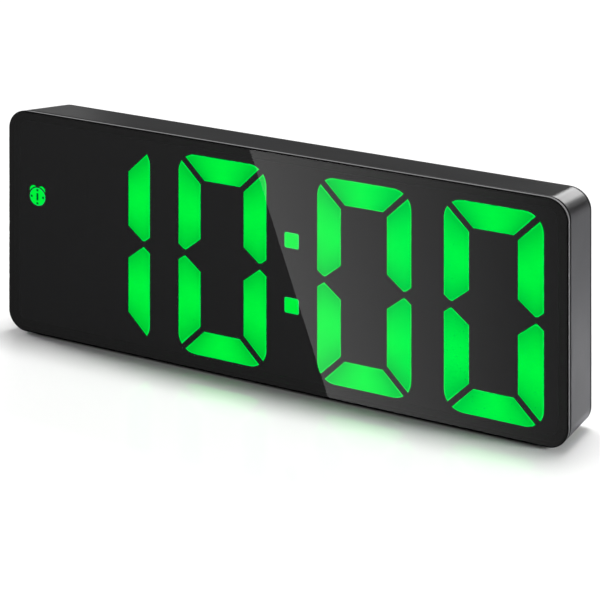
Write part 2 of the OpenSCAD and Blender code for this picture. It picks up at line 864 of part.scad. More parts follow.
// a flat block through the bay's end wall, from inside the contact out past the wall
module tab_block(side, out, half_y, half_z) {
    x0 = (bay_l - contact_t) / 2;
    x1 = bay_l / 2 + out;
    block(min(side * x0, side * x1), max(side * x0, side * x1), cell_y - half_y, cell_y + half_y,
        bay_lead_z(side) - half_z, bay_lead_z(side) + half_z);
}

module solder_tab(side) {
    tab_block(side, bay_wall + tab_out, tab_w / 2, tab_t / 2);
}

module terminal_contacts() {
    color("#c9cbcd") {
        contact(1, 2, 2);
        solder_tab(1);
        contact(-1, 0, 0);
        solder_tab(-1);
    }
}

module bridge_contacts() {
    color("#c9cbcd") {
        contact(1, 0, 1);
        contact(-1, 1, 2);
    }
}

// a cone spring drawn as its stack of turns
module contact_springs() {
    step = (spring_l - 2 * spring_wire_r) / (spring_turns - 1);
    color("#d5d7d9") for (k = [0 : 2])
        translate([-nub_dir(k) * (bay_l / 2 - contact_t), cell_y, cell_z(k)])
            rotate([0, 90 * nub_dir(k), 0]) for (t = [0 : spring_turns - 1])
                translate([0, 0, spring_wire_r + t * step]) rotate_extrude()
                    translate([spring_r - t * spring_step_in, 0]) circle(spring_wire_r);
}

module lead(side) {
    bar(lead_r, side * (bay_l / 2 + bay_wall + 1.4), bay_lead_z(side) + side * (lead_r + tab_t / 2),
        board_back, cell_y + 1);
}

module lead_plus() {
    color("#a32020") lead(1);
}

module lead_minus() {
    color("#161616") lead(-1);
}

// ---- feet ----

module feet() {
    color("#2a2a2a") for (x = [-foot_x, foot_x], y = foot_ys)
        translate([x, y, 0]) cylinder(r = foot_r, h = foot_stand + foot_sink);
}

front_panel();
panel_tape();
front_housing();
reflector();
lit_lenses();
unlit_lenses();
colon_lenses();
alarm_icon_lens();
segment_leds();
main_board();
board_screws();
controller_chip();
display_driver();
crystal();
capacitor();
buzzer();
board_resistors();
link_header();
link_pins();
key_board();
key_screws();
key_switches();
plunger_mode();
plunger_set();
plunger_up();
plunger_down();
button_mode();
button_set();
button_up();
button_down();
usb_shell();
usb_tongue();
rear_cover();
cover_screws();
battery_door();
battery_cells();
terminal_contacts();
bridge_contacts();
contact_springs();
lead_plus();
lead_minus();
feet();
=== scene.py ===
import bmesh
import bpy
import numpy as np
from mathutils import Matrix, Vector


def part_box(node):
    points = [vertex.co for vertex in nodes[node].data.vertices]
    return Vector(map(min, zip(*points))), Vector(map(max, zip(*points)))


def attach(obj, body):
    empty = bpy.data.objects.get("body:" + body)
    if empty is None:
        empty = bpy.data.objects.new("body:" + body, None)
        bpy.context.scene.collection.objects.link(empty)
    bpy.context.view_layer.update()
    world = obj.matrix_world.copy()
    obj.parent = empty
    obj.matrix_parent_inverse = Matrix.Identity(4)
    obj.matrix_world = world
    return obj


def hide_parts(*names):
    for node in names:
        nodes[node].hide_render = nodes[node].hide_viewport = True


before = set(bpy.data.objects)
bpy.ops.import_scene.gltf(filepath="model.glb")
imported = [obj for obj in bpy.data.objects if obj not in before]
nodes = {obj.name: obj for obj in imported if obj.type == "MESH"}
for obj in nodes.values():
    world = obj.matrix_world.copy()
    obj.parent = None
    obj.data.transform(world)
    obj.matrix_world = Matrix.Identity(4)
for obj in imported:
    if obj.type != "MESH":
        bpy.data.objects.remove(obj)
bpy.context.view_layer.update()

# Desk alarm clock: smoked front panel, green seven-segment digits, black satin housing.
mm = 0.001
up = (0, 0, 1)
samePoint = 2e-7        # metres: made points nearer than this are joined
weldedPoint = 1e-6      # the same for the CAD nodes


# camera
view = {
    "place": (0.1782, -0.4186, 0.1281),   # metres
    "lens": 103.12,        # mm, on a 36 mm sensor
    "nearest": 0.01,       # metres
    "turn": 22.70,         # degrees round from straight ahead
    "fall": 13.24,         # degrees that it looks down
    "sideTurn": 22.29,     # the frame's level edge, turned round with the camera
    "sideRise": 6.0,       # and leaning up from level
}


def direction(turn, rise):
    # turn is measured from +X towards +Y, rise from level, both in degrees
    turn, rise = np.radians([turn, rise])
    return np.array([np.cos(turn) * np.cos(rise), np.sin(turn) * np.cos(rise), np.sin(rise)])


def makeCamera():
    # upright edges stay parallel and level ones lean, as behind a swung and tilted lens plate:
    # the camera's three axes aren't square to each other, and the holder's stretch gives them that
    ahead = direction(90 + view["turn"], -view["fall"])
    axes = np.stack([direction(view["sideTurn"], view["sideRise"]), up, -ahead], 1)
    first, stretch, second = np.linalg.svd(axes)
    if np.linalg.det(first) < 0:
        first[:, -1] *= -1
        second[-1] *= -1
    holder = bpy.data.objects.new("cameraHolder", None)
    holder.matrix_world = (Matrix.Translation(view["place"])
                           @ Matrix(first.tolist()).to_4x4() @ Matrix.Diagonal((*stretch, 1)))
    lens = bpy.data.cameras.new("camera")
    lens.lens = view["lens"]
    lens.clip_start = view["nearest"]
    camera = bpy.data.objects.new("camera", lens)
    camera.parent = holder
    camera.matrix_basis = Matrix(second.tolist()).to_4x4()
    for thing in (holder, camera):
        bpy.context.scene.collection.objects.link(thing)
    bpy.context.scene.camera = camera
    bpy.context.scene.view_settings.view_transform = "Standard"


makeCamera()
print("camera in place")


# meshes from grids of points
def gridPiece(name, grids, finishes, sharp=30, attribute=None):
    # a grid is (points, closed, finish number): quads join neighbouring rows and columns,
    # and where closed is true the last column meets the first
    corners, quads, picks, values, start = [], [], [], [], 0
    for points, closed, finish, *value in grids:
        rows, columns = points.shape[:2]
        index = np.arange(rows * columns).reshape(rows, columns) + start
        left, right = (index, np.roll(index, -1, 1)) if closed else (index[:, :-1], index[:, 1:])
        quad = np.stack([left[:-1], right[:-1], right[1:], left[1:]], -1).reshape(-1, 4)
        corners.append(points.reshape(-1, 3))
        quads.append(quad)
        picks.append(np.full(len(quad), finish))
        values.append(np.broadcast_to(value[0] if value else 0.0, (rows, columns)).ravel())
        start += rows * columns
    mesh = bpy.data.meshes.new(name)
    mesh.from_pydata(np.concatenate(corners).tolist(), [], np.concatenate(quads).tolist())
    mesh.polygons.foreach_set("material_index", np.concatenate(picks))
    if attribute:
        mesh.attributes.new(attribute, "FLOAT", "POINT").data.foreach_set(
            "value", np.concatenate(values).astype(np.float32))
    for finish in finishes:
        mesh.materials.append(finish)
    work = bmesh.new()
    work.from_mesh(mesh)
    bmesh.ops.remove_doubles(work, verts=work.verts, dist=samePoint)
    bmesh.ops.recalc_face_normals(work, faces=work.faces)
    work.to_mesh(mesh)
    work.free()
    mesh.polygons.foreach_set("use_smooth", np.ones(len(mesh.polygons), bool))
    mesh.set_sharp_from_angle(angle=np.radians(sharp))
    piece = bpy.data.objects.new(name, mesh)
    bpy.context.scene.collection.objects.link(piece)
    return piece


def roundedRectangle(width, height, radius, steps=16):
    # four quarter arcs, joined by the straight sides: the points and their outward directions
    turn = np.radians(np.linspace(0, 90, steps) + np.array([[0], [90], [180], [270]]))
    middles = np.array([(1, 1), (-1, 1), (-1, -1), (1, -1)])
    middles = middles * (width / 2 - radius, height / 2 - radius)
    out = np.stack([np.cos(turn), np.sin(turn)], -1)
    return (middles[:, None] + radius * out).reshape(-1, 2), out.reshape(-1, 2)


def carriedRound(outline, out, profile, middle):
    # point = outline - inset * outward direction, at the profile's depth along Y;
    # an inset of None is the middle itself
    rows = []
    for inset, depth in profile:
        flat = outline * 0 if inset is None else outline - inset * out
        rows.append(np.stack([middle[0] + flat[:, 0], np.full(len(flat), depth),
                              middle[1] + flat[:, 1]], -1))
    return np.stack(rows)


def turned(profile, place, axis, steps=48):
    # a profile of (radius, height) turned about an axis through the place
    axis = Vector(axis)
    side = axis.orthogonal().normalized()
    other = axis.cross(side)
    radius, height = np.array(profile, float).T
    turn = np.linspace(0, 2 * np.pi, steps, endpoint=False)
    across = np.cos(turn)[:, None] * np.array(side) + np.sin(turn)[:, None] * np.array(other)
    return (np.array(place) + radius[:, None, None] * across[None]
            + height[:, None, None] * np.array(axis))


def arc(middle, radius, start, end, steps):
    # points on a circle from one angle to another, in degrees
    turn = np.radians(np.linspace(start, end, steps))
    return np.array(middle) + radius * np.stack([np.cos(turn), np.sin(turn)], -1)


def placed(piece, body, slot, *replaced):
    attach(piece, body)
    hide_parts(*replaced)


# finishes
def newFinish(name, **sockets):
    finish = bpy.data.materials.new(name)
    finish.use_nodes = True
    tree = finish.node_tree
    shader = tree.nodes["Principled BSDF"]
    for socket, value in sockets.items():
        shader.inputs[socket].default_value = value
    return finish, tree, shader


def addNode(tree, kind, links=(), **settings):
    # links are (input, output) pairs; a setting whose name is an input's sets that input
    node = tree.nodes.new(kind)
    for key, value in settings.items():
        if hasattr(node, key):
            setattr(node, key, value)
        else:
            node.inputs[key].default_value = value
    for target, source in links:
        tree.links.new(source, node.inputs[target])
    return node


def noise(tree, size, detail=3.0, stretch=(1, 1, 1)):
    # soft random pattern whose lumps are about size metres across
    place = addNode(tree, "ShaderNodeTexCoord").outputs["Object"]
    mapping = addNode(tree, "ShaderNodeMapping", [("Vector", place)], Scale=stretch)
    return addNode(tree, "ShaderNodeTexNoise", [("Vector", mapping.outputs[0])],
                   Scale=1 / size, Detail=detail).outputs[0]


def ranged(tree, source, low, high, start=0.3, end=0.7):
    # goes from low to high while the source goes from start to end
    node = addNode(tree, "ShaderNodeMapRange", [("Value", source)])
    for key, value in zip(("From Min", "From Max", "To Min", "To Max"), (start, end, low, high)):
        node.inputs[key].default_value = value
    return node.outputs[0]


def mixed(tree, factor, first, second):
    # first and second are colours or outputs that give one
    node = addNode(tree, "ShaderNodeMix", data_type="RGBA")
    tree.links.new(factor, node.inputs[0])
    for socket, value in ((6, first), (7, second)):
        if isinstance(value, (tuple, list)):
            node.inputs[socket].default_value = (*value[:3], 1)
        else:
            tree.links.new(value, node.inputs[socket])
    return node.outputs[2]


def bumped(tree, shader, height, distance):
    bump = addNode(tree, "ShaderNodeBump", [("Height", height)], Distance=distance)
    tree.links.new(bump.outputs[0], shader.inputs["Normal"])


def mottled(name, dark, light, smooth, rough, lump, grain, depth, metal=0.0, **sockets):
    # colour and roughness drift over lumps, under a fine grain; lump, grain and depth in metres
    finish, tree, shader = newFinish(name, Metallic=metal, **sockets)
    drift = noise(tree, lump)
    tree.links.new(mixed(tree, ranged(tree, drift, 0, 1), dark, light), shader.inputs["Base Color"])
    tree.links.new(ranged(tree, drift, smooth, rough), shader.inputs["Roughness"])
    bumped(tree, shader, noise(tree, grain, 2.0), depth)
    return finish


smokedSheet = {
    "smoke": (0.10, 0.105, 0.115, 1),     # share of the light that gets through, by colour
    "bend": 1.42,
    "haze": (0.003, 0.009),               # roughness, from clear to wiped places
    "wipe": 0.03,                         # metres, size of the wiped places
    "wipeDetail": 5.0,
    "wipeStretch": (1, 1, 3),
}


def smokedAcrylic():
    finish, tree, shader = newFinish("smokedAcrylic", IOR=smokedSheet["bend"])
    shader.inputs["Base Color"].default_value = smokedSheet["smoke"]
    shader.inputs["Transmission Weight"].default_value = 1
    wiped = noise(tree, *(smokedSheet[k] for k in ("wipe", "wipeDetail", "wipeStretch")))
    tree.links.new(ranged(tree, wiped, *smokedSheet["haze"]), shader.inputs["Roughness"])
    return finish


edgeInkAndShade = {
    "bend": 1.12,
    "dark": (0.002,) * 3,
    "light": (0.005,) * 3,
    "haze": (0.35, 0.5),
    "lump": 0.002,            # metres
}


def inkAndPaintedShadeEdge():
    # the sheet's rounded front edge is painted near black all round, a painted shade; the same
    # finish is the ink printed round the back's border
    finish, tree, shader = newFinish("inkAndPaintedShadeEdge", IOR=edgeInkAndShade["bend"])
    soft = noise(tree, edgeInkAndShade["lump"])
    tone = mixed(tree, soft, edgeInkAndShade["dark"], edgeInkAndShade["light"])
    tree.links.new(tone, shader.inputs["Base Color"])
    tree.links.new(ranged(tree, soft, *edgeInkAndShade["haze"]), shader.inputs["Roughness"])
    return finish


sawnRimPaintedLight = {
    "bend": 1.1,
    # painted highlight: the rim's pale grey stands in for its polished edge catching the light
    "paintedHighlightGrey": (0.20, 0.20, 0.205),
    "pale": (0.27, 0.27, 0.275),
    "haze": (0.5, 0.65),
    "line": 0.0004,           # metres, pitch of the saw lines
    "lineDetail": 2.0,
    "lineStretch": (0.02, 4, 0.02),
    "lineDepth": 0.00001,     # metres
    # painted shade: the rim's back is darkened where it meets the seam
    "darkBand": (0.003,) * 3,
    "inner": (0.002,) * 3,    # the rim seen through the sheet
    "seamShadeFrom": -11.9,         # mm along Y, where the painted seam shade at the rim's back starts
    "seamShadeTo": -11.6,
}


def sawnEdgePaintedLight():
    # the rim of the sheet, with faint saw lines round it: its pale grey is a painted highlight, a
    # painted shade darkens it towards the back at the seam, and its inner side, seen through the
    # sheet, is near black
    finish, tree, shader = newFinish("sawnEdgePaintedLight", IOR=sawnRimPaintedLight["bend"])
    lines = noise(tree, *(sawnRimPaintedLight[k] for k in ("line", "lineDetail", "lineStretch")))
    place = addNode(tree, "ShaderNodeTexCoord").outputs["Object"]
    along = addNode(tree, "ShaderNodeSeparateXYZ", [(0, place)]).outputs["Y"]
    # painted shade: darker towards the back of the rim, at the seam
    darkBand = ranged(tree, along, 0, 1, sawnRimPaintedLight["seamShadeFrom"] * mm, sawnRimPaintedLight["seamShadeTo"] * mm)
    # painted highlight: pale grey, with faint saw lines
    sawn = mixed(tree, ranged(tree, lines, 0, 1), sawnRimPaintedLight["paintedHighlightGrey"], sawnRimPaintedLight["pale"])
    tone = mixed(tree, darkBand, sawn, sawnRimPaintedLight["darkBand"])
    inner = addNode(tree, "ShaderNodeNewGeometry").outputs["Backfacing"]
    tree.links.new(mixed(tree, inner, tone, sawnRimPaintedLight["inner"]), shader.inputs["Base Color"])
    tree.links.new(ranged(tree, lines, *sawnRimPaintedLight["haze"]), shader.inputs["Roughness"])
    bumped(tree, shader, lines, sawnRimPaintedLight["lineDepth"])
    return finish


satin = {
    "dark": (0.014, 0.014, 0.015),
    "light": (0.019, 0.019, 0.020),
    "haze": (0.28, 0.30),
    "lump": 0.012,            # metres
    "grain": 0.00035,
    "grainDetail": 2.0,
    "grainDepth": 0.0000010,
    # painted shade in the groove behind the panel, near black
    "groove": (0.001,) * 3,
    "grooveFrom": -10.55,     # mm along Y, where the painted shade over the groove wall and the edge chamfer starts to give way to the shell's own tone
    "grooveTo": -10.42,       # to the shell's edge
}


def satinShell():
    # moulded black plastic with a fine satin grain; the groove behind the panel and most of the
    # shell's front edge chamfer are painted near black and fully rough, as painted shade
    finish, tree, shader = newFinish("satinShell")
    drift = ranged(tree, noise(tree, satin["lump"]), 0, 1)
    place = addNode(tree, "ShaderNodeTexCoord").outputs["Object"]
    along = addNode(tree, "ShaderNodeSeparateXYZ", [(0, place)]).outputs["Y"]
    # painted shade: near black and fully rough towards the front, over the groove and edge chamfer
    out = ranged(tree, along, 0, 1, satin["grooveFrom"] * mm, satin["grooveTo"] * mm)
    tone = mixed(tree, drift, satin["dark"], satin["light"])
    tree.links.new(mixed(tree, out, satin["groove"], tone), shader.inputs["Base Color"])
    polish = addNode(tree, "ShaderNodeMix", [(0, out)])
    polish.inputs[2].default_value = 1.0
    tree.links.new(ranged(tree, drift, *satin["haze"]), polish.inputs[3])
    tree.links.new(polish.outputs[0], shader.inputs["Roughness"])
    grain = noise(tree, satin["grain"], satin["grainDetail"])
    bumped(tree, shader, grain, satin["grainDepth"])
    return finish


glow = {
    "bright": (0.0, 1.0, 0.032),
    "dim": (0.0, 0.30, 0.012),
    "pale": (0.10, 0.80, 0.20),      # the thin edge of a lens, where its light scatters
    "dark": (0.0, 0.035, 0.004),     # printed marks
    "markLevel": 0.25,               # below this glow a place turns from dim to dark
    "cloud": (0.94, 1.0),            # soft unevenness of the light
    "lump": 0.004,                   # metres
    "beyond": 0.046,                 # so pure a green has less than no red, as screens count it
    "strength": 9.2,
    "resin": (0.01, 0.12, 0.02, 1),
    "haze": 0.35,
}


def litLens():
    # the attribute is how brightly a place glows, and from 1 to 2 how pale its edge is
    finish, tree, shader = newFinish("litLens", Roughness=glow["haze"])
    shader.inputs["Base Color"].default_value = glow["resin"]
    level = addNode(tree, "ShaderNodeAttribute", attribute_name="glow").outputs["Fac"]
    cloud = ranged(tree, noise(tree, glow["lump"]), *glow["cloud"])
    low = addNode(tree, "ShaderNodeMath", [(0, level), (1, cloud)], operation="MULTIPLY").outputs[0]
    lit = ranged(tree, low, 0, 1, glow["markLevel"], 1.0)
    unprinted = ranged(tree, low, 0, 1, 0, glow["markLevel"])
    green = mixed(tree, lit, glow["dim"], glow["bright"])
    green = mixed(tree, unprinted, glow["dark"], green)
    shine = mixed(tree, ranged(tree, level, 0, 1, 1, 2), green, glow["pale"])
    pure = addNode(tree, "ShaderNodeMix", [(6, shine)], data_type="RGBA", blend_type="SUBTRACT")
    pure.inputs[0].default_value = 1.0
    pure.inputs[7].default_value = (glow["beyond"], 0, 0, 1)
    tree.links.new(pure.outputs[2], shader.inputs["Emission Color"])
    shader.inputs["Emission Strength"].default_value = glow["strength"]
    return finish


mask = {
    "lacquer": (0.012, 0.10, 0.035),
    "overCopper": (0.05, 0.24, 0.09),
    "haze": 0.32,
    "tracks": 160,            # to the metre
    "trackWidth": 0.05,
    "trackDepth": 0.00003,    # metres
    "lump": 0.006,            # size of the places that have tracks
}


def solderMask():
    # green lacquer over copper: straight tracks show as slightly lighter bands
    finish, tree, shader = newFinish("solderMask", Roughness=mask["haze"])
    place = addNode(tree, "ShaderNodeTexCoord").outputs["Object"]
    turn = addNode(tree, "ShaderNodeMapping", [("Vector", place)], Rotation=(np.pi / 2, 0, 0))
    tracks = addNode(tree, "ShaderNodeTexBrick", [("Vector", turn.outputs[0])],
                     Scale=mask["tracks"])
    tracks.inputs["Mortar Size"].default_value = mask["trackWidth"]
    cover = ranged(tree, noise(tree, mask["lump"]), 0, 1)
    share = addNode(tree, "ShaderNodeMath", [(0, tracks.outputs["Fac"]), (1, cover)],
                    operation="MULTIPLY").outputs[0]
    tone = mixed(tree, share, mask["lacquer"], mask["overCopper"])
    tree.links.new(tone, shader.inputs["Base Color"])
    bumped(tree, shader, share, mask["trackDepth"])
    return finish


# each mottled one has its darkest and lightest colour, least and most roughness, and lump, grain
# and depth
finishes = {
    "panel_acrylic": smokedAcrylic(),
    "lens_lit": litLens(),
    "circuit_board": solderMask(),
    "tape_foam": mottled("tapeFoam", (0.012,) * 3, (0.03,) * 3, 0.85, 0.95, 0.002, 0.0003, 0.00004),
    "housing_plastic": satinShell(),
    "reflector_plastic": mottled("reflectorPlastic", (0.004,) * 3, (0.006,) * 3, 0.8, 0.9, 0.01,
                                 0.0004, 0.000001, IOR=1.2),
    "lens_dark": mottled("darkLens", (0.004, 0.0045, 0.004), (0.006, 0.0065, 0.006), 0.8, 0.9,
                         0.004, 0.0004, 0.000001, IOR=1.2),
    "led_body": mottled("ledBody", (0.72, 0.68, 0.42), (0.86, 0.83, 0.62), 0.3, 0.45, 0.0006,
                        0.0002, 0.000004),
    "chip_black": mottled("moulding", (0.016,) * 3, (0.035,) * 3, 0.45, 0.62, 0.002, 0.0001,
                          0.000008),
    "bright_metal": mottled("brightMetal", (0.66, 0.67, 0.69), (0.80, 0.80, 0.81), 0.16, 0.3,
                            0.002, 0.0002, 0.000003, 1.0),
    "dark_screw": mottled("blackScrew", (0.045,) * 3, (0.10, 0.10, 0.11), 0.28, 0.45, 0.0012,
                          0.0002, 0.000006, 0.85),
    "steel_screw": mottled("steelScrew", (0.48, 0.48, 0.50), (0.62, 0.62, 0.63), 0.22, 0.4,
                           0.001, 0.0002, 0.000005, 1.0),
    "pin_gold": mottled("goldPin", (0.72, 0.52, 0.20), (0.84, 0.66, 0.32), 0.2, 0.3, 0.001,
                        0.0002, 0.000003, 1.0),
    "capacitor_sleeve": mottled("capacitorSleeve", (0.012, 0.02, 0.06), (0.02, 0.035, 0.09), 0.3,
                                0.42, 0.002, 0.0003, 0.000004),
    "button_plastic": mottled("buttonPlastic", (0.03, 0.03, 0.032), (0.04, 0.04, 0.042), 0.28, 0.34,
                              0.003, 0.0003, 0.000002),
    "cell_wrap": mottled("cellWrap", (0.03, 0.032, 0.036), (0.05, 0.052, 0.056), 0.2, 0.32, 0.004,
                         0.0006, 0.000003),
    "cell_band": mottled("paleWrap", (0.42, 0.43, 0.44), (0.50, 0.51, 0.52), 0.2, 0.3, 0.004,
                         0.0006, 0.000003),
    "wire_red": mottled("redWire", (0.42, 0.02, 0.015), (0.55, 0.035, 0.025), 0.35, 0.5, 0.002,
                        0.0003, 0.000006),
    "wire_black": mottled("blackWire", (0.012,) * 3, (0.02,) * 3, 0.35, 0.5, 0.002, 0.0003,
                          0.000006),
    "foot_rubber": mottled("footRubber", (0.016,) * 3, (0.03,) * 3, 0.75, 0.9, 0.0015, 0.00025,
                           0.00002),
}
# the rear cover and its door are spark-eroded: rougher and a little paler than the shell
erodedCover = mottled("erodedCover", (0.021, 0.021, 0.022), (0.028, 0.028, 0.029), 0.48, 0.56, 0.01,
                      0.0004, 0.000012)
ownFinish = {"rear_cover": erodedCover, "battery_door": erodedCover}
print("finishes made")


# CAD nodes that stay
roundedEdges = {          # width of the rounding on each node's edges, in mm
    "front_housing": 0.12,
    "rear_cover": 0.12,
    "battery_door": 0.15,
    "cover_screws": 0.08,
    "usb_shell": 0.05,
}
edgeAngles = {            # degrees between the faces at an edge
    "flat": 0.2,          # less than this and they are made one
    "rounded": 35,        # more than this and the edge is rounded
    "crisp": 32,          # on the other nodes, more than this and it's shaded sharp
}


def dressNode(name, node):
    slot = node.data.materials[0].name
    node.data.materials[0] = ownFinish.get(name, finishes[slot.split(".")[0]])
    node.data.polygons.foreach_set("use_smooth", np.ones(len(node.data.polygons), bool))
    weld = node.modifiers.new("weld", "WELD")
    weld.merge_threshold = weldedPoint
    if name in roundedEdges:
        flat = node.modifiers.new("flatten", "DECIMATE")
        flat.decimate_type = "DISSOLVE"
        flat.angle_limit = np.radians(edgeAngles["flat"])
        bevel = node.modifiers.new("edges", "BEVEL")
        bevel.width = roundedEdges[name] * mm
        bevel.segments = 2
        bevel.limit_method = "ANGLE"
        bevel.angle_limit = np.radians(edgeAngles["rounded"])
        even = node.modifiers.new("evenShading", "WEIGHTED_NORMAL")
        even.keep_sharp = False
        even.weight = 100
    else:
        split = node.modifiers.new("crisp", "EDGE_SPLIT")
        split.split_angle = np.radians(edgeAngles["crisp"])


for name, node in nodes.items():
    dressNode(name, node)
print("CAD nodes dressed")


# front panel
panel = {                # mm
    "corner": 5.5,       # the body's corner radius
    "frontRound": 0.35,
    "rearRound": 0.15,
    "landing": 3.0,      # flat band inside the rounded edge
    "darkBand": 1.3,          # black border printed on the back
    "thin": 0.02,        # rings this close to an edge keep the flat beside it flat
}


def makeFrontPanel():
    # the profile of the sheet's rim carried round the outline, closed by flat faces to the middle
    low, high = (np.array(v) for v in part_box("front_panel"))
    corner, front, rear, landing, darkBand, thin = (
        panel[k] * mm for k in ("corner", "frontRound", "rearRound", "landing", "darkBand", "thin"))
    outline, out = roundedRectangle(high[0] - low[0], high[2] - low[2], corner)
    middle = ((low[0] + high[0]) / 2, (low[2] + high[2]) / 2)
    frontEdge = arc((front, low[1] + front), front, -90, -180, 8)
    rearEdge = arc((rear, high[1] - rear), rear, 180, 90, 4)
    face = [(None, low[1]), (landing, low[1]), (front + thin, low[1]), tuple(frontEdge[0])]
    rim = [tuple(frontEdge[-1]), (0, low[1] + front + thin), (0, high[1] - rear - thin),
           *map(tuple, rearEdge)]
    border = [tuple(rearEdge[-1]), (rear + thin, high[1]), (darkBand, high[1])]
    back = [(darkBand, high[1]), (landing, high[1]), (None, high[1])]
    # the rounded front edge takes the painted shade, the rim the painted highlight and seam shade,
    # the back's border the printed ink
    grids = [(carriedRound(outline, out, profile, middle), True, number)
             for profile, number in ((face, 0), (frontEdge, 1), (rim, 2), (border, 1), (back, 0))]
    sheet = gridPiece("frontPanel", grids, [finishes["panel_acrylic"], inkAndPaintedShadeEdge(), sawnEdgePaintedLight()])
    placed(sheet, "case", "panel_acrylic", "front_panel")


makeFrontPanel()
print("front panel made")


# lit digits, colon and alarm symbol
digits = {
    "shown": (1, 0, 0, 0),
    "pairGap": 8.7,        # mm between the digits of a pair
    "middleGap": 14.5,     # mm between the pairs
    "segment": 6.6,
    "slit": 1.6,
    "corner": 5.0,
    "tipIn": 1.9,          # the upright segments' points, inside their outer side
    "tipGap": 0.65,        # and above the digit's middle
    "tipSlope": 0.81,
    "soften": 0.2,         # rounding of a lens's edge
    "pale": 0.4,           # how pale the very edge glows
    "fall": 0.43,          # how much of the glow is lost at a segment's ends
    "fallPower": 1.7,
    "sideFall": 0.05,      # and at its long sides
    "backGlow": 0.3,
    "edgeShare": 0.05,     # how far in the softened edge reaches, as a share of the width
    "slimness": 3,         # a segment's length to its width, for the softened ends
    "alongSteps": (0, 0.006, 0.018, *np.linspace(0.04, 0.96, 22), 0.982, 0.994, 1),
    "acrossSteps": (0, 0.02, 0.05, *np.linspace(0.1, 0.9, 8), 0.95, 0.98, 1),
}
segmentsOf = {0: "abcdef", 1: "bc"}


def evenly(points, count):
    # the same path with evenly spaced points
    steps = np.r_[0, np.cumsum(np.linalg.norm(np.diff(points, axis=0), axis=1))]
    at = np.linspace(0, steps[-1], count)
    return np.stack([np.interp(at, steps, points[:, k]) for k in (0, 1)], -1)


def stretchedBetween(outer, inner, start, end, u, v):
    # Coons patch: the blend of the two long sides plus the blend of the two ends, less the
    # blend of the four corners
    def along(path, at):
        where = np.linspace(0, 1, len(path))
        return np.stack([np.interp(at, where, path[:, k]) for k in (0, 1)], -1)
    outer, inner = along(outer, u), along(inner, u)
    start, end = along(start, v), along(end, v)
    u, v = u[:, None, None], v[None, :, None]
    sides = (1 - v) * outer[:, None] + v * inner[:, None]
    ends = (1 - u) * start[None] + u * end[None]
    corners = ((1 - u) * (1 - v) * outer[0] + (1 - u) * v * inner[0]
               + u * (1 - v) * outer[-1] + u * v * inner[-1])
    return sides + ends - corners


def segmentOutline(kind, half, top):
    # the long sides and the ends of the top segment, or of the upper right one
    width, slit, corner = (digits[k] * mm for k in ("segment", "slit", "corner"))
    cut = slit / 2 * np.sqrt(2)
    meet = np.degrees(np.arcsin(cut / corner / np.sqrt(2)))
    middle = np.array([half - corner, top - corner])
    if kind == "top":
        right = arc(middle, corner, 90, 45 + meet, 12)
        outer = np.concatenate([right[::-1] * (-1, 1), right])
        inner = np.array([[width + cut - half, top - width], [half - width - cut, top - width]])
        start, end = (np.stack([outer[k], inner[k]]) for k in (0, -1))
    else:
        tip = half - digits["tipIn"] * mm
        low, slope = digits["tipGap"] * mm, digits["tipSlope"]
        outer = np.concatenate([arc(middle, corner, 45 - meet, 0, 12),
                                [[half, low + slope * (half - tip)]]])
        inner = np.array([[half - width, top - width - cut],
                          [half - width, low + slope * (tip - half + width)]])
        start = np.stack([outer[0], inner[0]])
        end = np.array([outer[-1], [tip, low], inner[-1]])
    return [evenly(path, 60) for path in (outer, inner, start, end)]


def lensGrids(paths, flip, middle, face, back, fall):
    # a lens from its outline's four sides: a softened front, straight walls and a flat back.
    # The front's depth is a quarter circle over the edge, and its glow is
    # (1 - fall |2u - 1| ^ fallPower) (1 - sideFall (2v - 1) ^ 4), u along the segment, v across
    u, v = np.array(digits["alongSteps"]), np.array(digits["acrossSteps"])
    flat = stretchedBetween(*paths, u, v) * flip + middle
    fromEnd = np.minimum(u, 1 - u)[:, None] * digits["slimness"]
    fromSide = np.minimum(v, 1 - v)[None]
    edge = np.clip(np.minimum(fromEnd, fromSide) / digits["edgeShare"], 0, 1)
    depth = face + digits["soften"] * mm * (1 - np.sqrt(1 - (1 - edge) ** 2))
    front = np.stack([flat[..., 0], depth, flat[..., 1]], -1)
    rear = front.copy()
    rear[..., 1] = back
    level = 1 - fall * np.abs(2 * u - 1)[:, None] ** digits["fallPower"]
    level = level * (1 - digits["sideFall"] * (2 * v - 1) ** 4)
    level = np.where(edge < 0.5, 1 + digits["pale"] * (1 - edge), level)
    border = [np.concatenate([g[0, :-1], g[:-1, -1], g[-1, :0:-1], g[:0:-1, 0]])
              for g in (front, rear)]
    dim = digits["backGlow"]
    return [(front, False, 0, level), (rear, False, 0, dim), (np.stack(border), True, 0, dim)]


def makeLitDigits():
    low, high = (np.array(v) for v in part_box("lit_lenses"))
    colon = (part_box("colon_lenses")[0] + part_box("colon_lenses")[1]) / 2
    pairGap, middleGap = digits["pairGap"] * mm, digits["middleGap"] * mm
    width = (high[0] - colon.x - middleGap / 2 - pairGap) / 2
    top = (high[2] - low[2]) / 2
    pairs = colon.x + np.array([-1, 1]) * (middleGap / 2 + width + pairGap / 2)
    places = (pairs[:, None] + np.array([-1, 1]) * (width + pairGap) / 2).ravel()
    kinds = {"a": ("top", (1, 1)), "b": ("side", (1, 1)), "c": ("side", (1, -1)),
             "d": ("top", (1, -1)), "e": ("side", (-1, -1)), "f": ("side", (-1, 1))}
    grids = []
    for number, place in zip(digits["shown"], places):
        for letter in segmentsOf[number]:
            kind, flip = kinds[letter]
            grids += lensGrids(segmentOutline(kind, width / 2, top), np.array(flip),
                               np.array([place, colon.z]), low[1], high[1], digits["fall"])
    lenses = gridPiece("litDigits", grids, [finishes["lens_lit"]], 60, "glow")
    placed(lenses, "case", "lens_lit", "lit_lenses")


colonDot = {
    "corner": 0.5,         # mm
    "landing": 0.45,       # mm, from the edge to the flat middle
    "faceGlow": 0.97,
    "edgeGlow": (1.2, 1.7),
}


